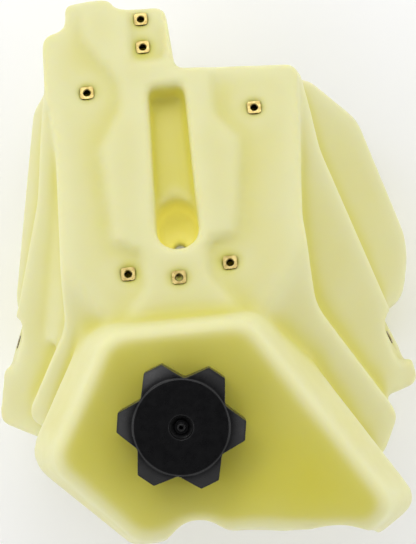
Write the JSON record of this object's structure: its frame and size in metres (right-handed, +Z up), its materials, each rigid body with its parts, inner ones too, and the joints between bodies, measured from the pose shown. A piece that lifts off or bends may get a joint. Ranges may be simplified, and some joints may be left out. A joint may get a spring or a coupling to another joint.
{
  "type": "motorcycle fuel tank",
  "caption": "Saddle-shaped moulded fuel tank with a lobed screw cap, vent nipple, threaded brass inserts, a frame-bolt well and a fuel tap beneath.",
  "frame": {"origin": "where the axis of the frame bolt crosses the roof of the frame tunnel", "axes": "+Z up, parallel to the cap's axis; +Y towards the saddle, the longest extent; +X towards the vehicle's left"},
  "size_m": [0.3362, 0.416, 0.301],
  "materials": {
    "shell": "translucent natural polyethylene with a fine moulded grain",
    "neck": "natural polyethylene",
    "brass": "turned brass",
    "cap": "black moulded plastic, fine grain",
    "seal": "smooth black nitrile",
    "vent": "black moulded plastic",
    "steel": "zinc-plated",
    "tap": "die-cast, tumbled",
    "lever": "black moulded plastic",
    "mesh": "natural nylon"
  },
  "bodies": {
    "tank": {"tank_dome": "shell", "tank_wing_left": "shell", "tank_wing_right": "shell", "tank_tunnel_roof": "shell", "tank_front_deck": "shell", "tank_rear_deck": "shell", "filler_neck": "neck", "tab_inserts": "brass", "rear_deck_inserts": "brass", "front_deck_inserts": "brass", "side_inserts": "brass", "tap_inserts": "brass", "tap_flange_seal": "seal", "tap_body": "tap", "tap_standpipe": "brass", "tap_strainer": "mesh", "tap_valve_seal": "seal", "tap_disc_spring": "steel", "tap_cover_plate": "steel", "tap_cover_screws": "steel", "tap_mount_screws": "steel", "tap_mount_washers": "steel"},
    "vent": {"vent_nipple": "vent", "vent_ring": "vent", "vent_plug": "vent", "vent_ball": "steel"},
    "cap": {"cap_body": "cap", "cap_gasket": "seal"},
    "tap_lever": {"tap_rotor": "brass", "tap_lever": "lever", "tap_lever_screw": "steel"}
  },
  "joints": [
    {"name": "cap_lift", "type": "slide", "parent": "tank", "child": "vent", "axis": [0, 0, 1], "range_m": [0, 0.03]},
    {"name": "cap_turn", "type": "hinge", "parent": "vent", "child": "cap", "pos_m": [-0.0075, -0.118, 0.15], "axis": [0, 0, 1], "range_deg": [0, 2160]},
    {"name": "tap_turn", "type": "hinge", "parent": "tank", "child": "tap_lever", "pos_m": [0.109, 0.092, -0.1135], "axis": [1, 0, 0], "range_deg": [-90, 90]}
  ],
  "couplings": [
    {"joint": "cap_lift", "follows": "cap_turn", "m_per_rad": 0.00079577}
  ]
}
